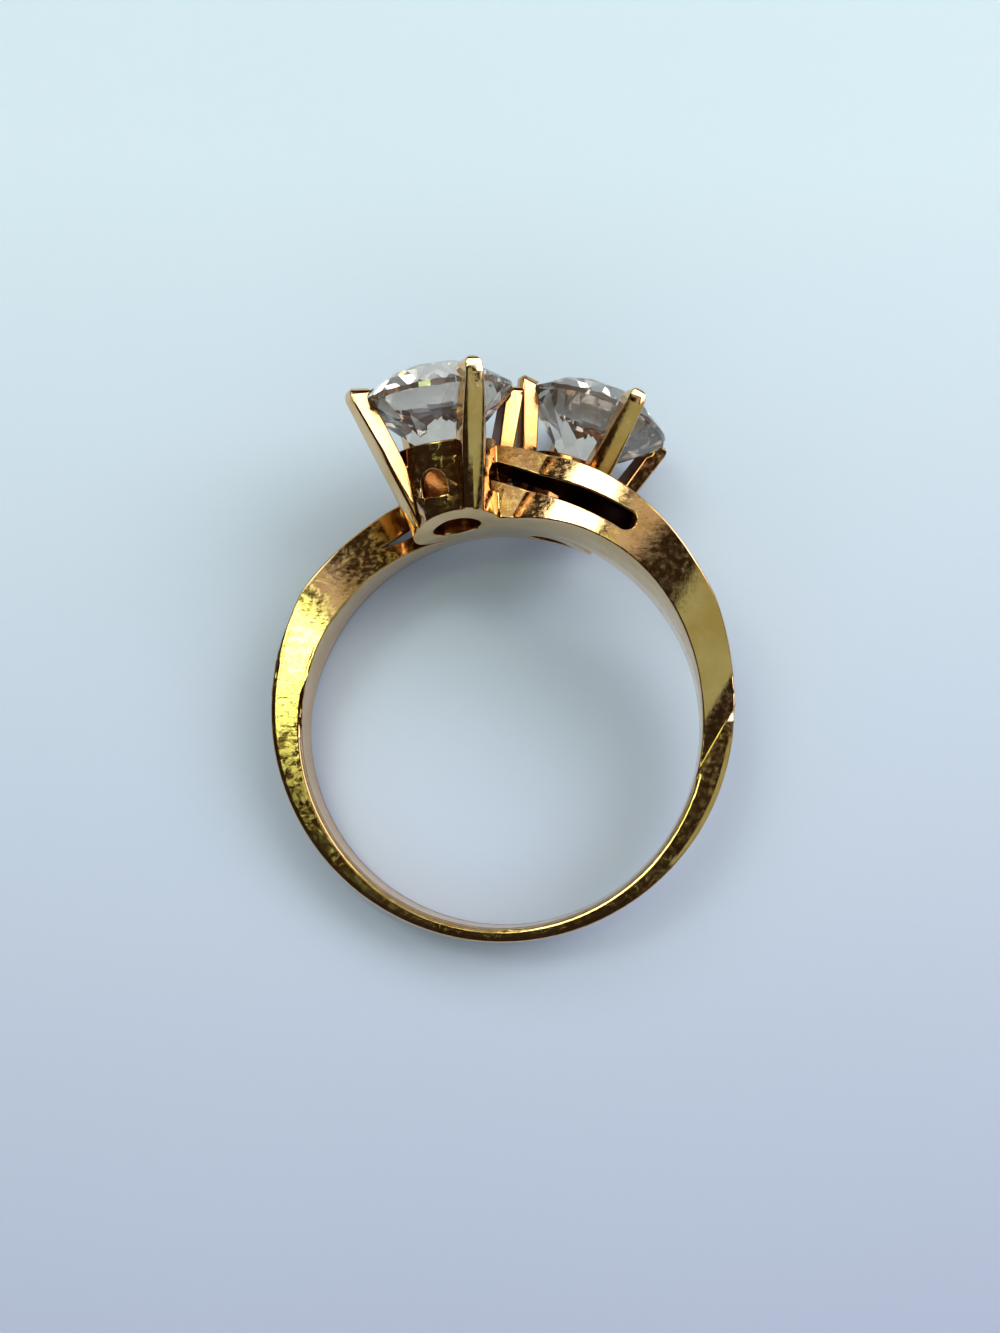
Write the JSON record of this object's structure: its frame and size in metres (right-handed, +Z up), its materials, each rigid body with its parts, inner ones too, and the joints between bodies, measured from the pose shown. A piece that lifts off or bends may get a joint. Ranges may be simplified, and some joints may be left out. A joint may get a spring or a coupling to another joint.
{
  "type": "toi et moi ring",
  "caption": "Bypass finger ring whose two slotted arms sweep past each other, each rising to a pronged basket that holds a round brilliant stone.",
  "frame": {"origin": "centre of the finger hole, on its axis and midway along its straight wall", "axes": "+Z up from the surface the ring lies on, +Y from the finger hole towards the stones, +X to the right of the ring in the picture; the hole's axis leans 12 degrees from +Z because the ring lies on its side"},
  "size_m": [0.02, 0.025, 0.0112],
  "materials": {
    "yellow_gold": "polished",
    "clear_stone": "polished"
  },
  "bodies": {
    "root": {"ring_mount": "yellow_gold", "near_stone": "clear_stone", "far_stone": "clear_stone"}
  },
  "joints": []
}
